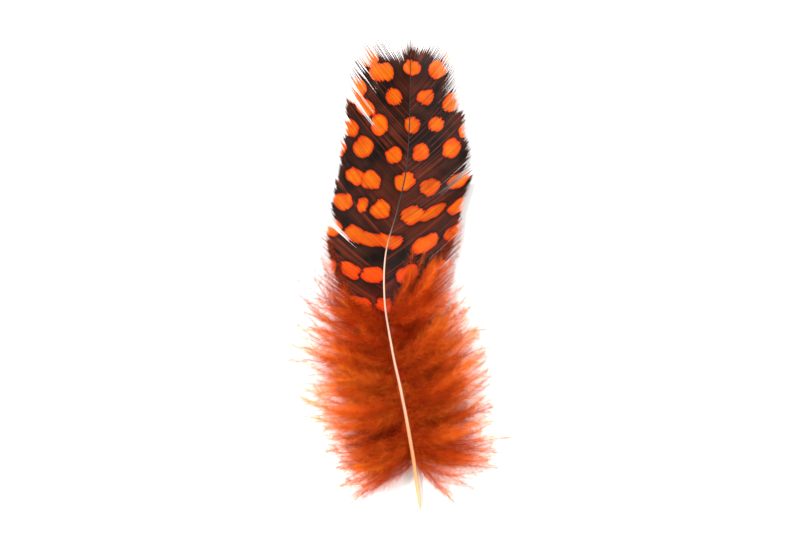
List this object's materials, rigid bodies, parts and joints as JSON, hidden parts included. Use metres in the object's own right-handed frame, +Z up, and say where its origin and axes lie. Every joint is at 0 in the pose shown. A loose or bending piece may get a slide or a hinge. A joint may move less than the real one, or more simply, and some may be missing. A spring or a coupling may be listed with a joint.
{
  "type": "guinea fowl feather",
  "caption": "Loose guinea fowl body feather, dyed orange: dark spotted vane on a thin curved shaft, with loose down round its lower part.",
  "frame": {"origin": "on the table, under the middle of the feather's length and width", "axes": "+Y from the quill to the feather's tip, +Z up from the table through the vane's outer face, +X to the right seen from above"},
  "size_m": [0.037, 0.0867, 0.0095],
  "materials": {
    "feather": "matte, dyed"
  },
  "bodies": {
    "root": {"feather": "feather"}
  },
  "joints": []
}
